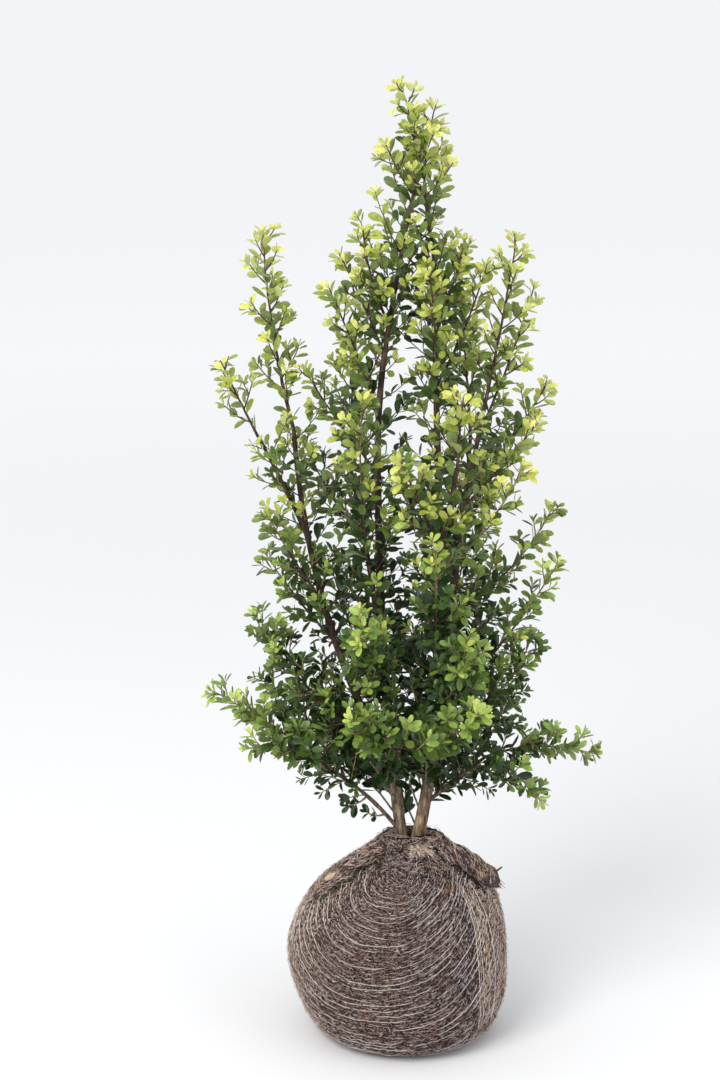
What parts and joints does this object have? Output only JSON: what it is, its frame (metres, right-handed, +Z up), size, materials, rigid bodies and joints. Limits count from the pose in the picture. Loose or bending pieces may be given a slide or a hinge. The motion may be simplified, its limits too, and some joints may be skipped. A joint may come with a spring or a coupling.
{
  "type": "small-leaved holly shrub on root ball",
  "caption": "Upright small-leaved holly with two main stems, open leafy crown and a cloth-wrapped root ball that it stands on.",
  "frame": {"origin": "on the root ball's flat underside, where the plant stands, below the middle of the ball's widest part", "axes": "+Z up along the stems, the plant's front faces -Y, +X is its right as seen from the front"},
  "size_m": [0.4524, 0.3573, 1.115],
  "materials": {
    "soil": "dark moist soil and coir held under a fine net, rough and dull",
    "cloth": "loose grey-brown net with pale straw threads, dull",
    "bark": "grey-brown bark with faint vertical ridges, matt",
    "leaf": "small leathery leaves, semi-gloss above and paler below, fresh yellow-green at the tips"
  },
  "bodies": {
    "root": {"root_ball": "soil", "wrap_roll_right": "cloth", "wrap_fold_left": "cloth", "stem_left": "bark", "stem_right": "bark", "bough_left": "bark", "bough_far_left": "bark", "bough_right": "bark", "bough_front": "bark", "bough_low_left": "bark", "bough_low_right": "bark", "bough_low_front": "bark", "bough_back_left": "bark", "bough_back_right": "bark", "bough_low_back": "bark", "foliage_top_left": "leaf", "foliage_top_right": "leaf", "foliage_upper_left": "leaf", "foliage_upper_left_back": "leaf", "foliage_upper_left_low": "leaf", "foliage_upper_right": "leaf", "foliage_upper_right_low": "leaf", "foliage_upper_front": "leaf", "foliage_left_spire": "leaf", "foliage_far_left": "leaf", "foliage_left_inner": "leaf", "foliage_front_left": "leaf", "foliage_left": "leaf", "foliage_left_back": "leaf", "foliage_left_low": "leaf", "foliage_left_low_back": "leaf", "foliage_low_left": "leaf", "foliage_low_left_up": "leaf", "foliage_right_spire": "leaf", "foliage_right_upper": "leaf", "foliage_right": "leaf", "foliage_right_front": "leaf", "foliage_right_front_low": "leaf", "foliage_right_back": "leaf", "foliage_right_mid": "leaf", "foliage_right_low": "leaf", "foliage_low_right": "leaf", "foliage_low_right_down": "leaf", "foliage_front": "leaf", "foliage_front_mid": "leaf", "foliage_low_front_left": "leaf", "foliage_low_front_right": "leaf", "foliage_front_low_left": "leaf", "foliage_front_low_right": "leaf", "foliage_front_centre": "leaf", "foliage_back_left_top": "leaf", "foliage_back_left": "leaf", "foliage_back_right_top": "leaf", "foliage_back_right": "leaf", "foliage_back": "leaf", "foliage_back_mid_left": "leaf", "foliage_back_mid_right": "leaf", "foliage_low_back_left": "leaf", "foliage_low_back": "leaf", "foliage_low_back_right": "leaf"}
  },
  "joints": []
}
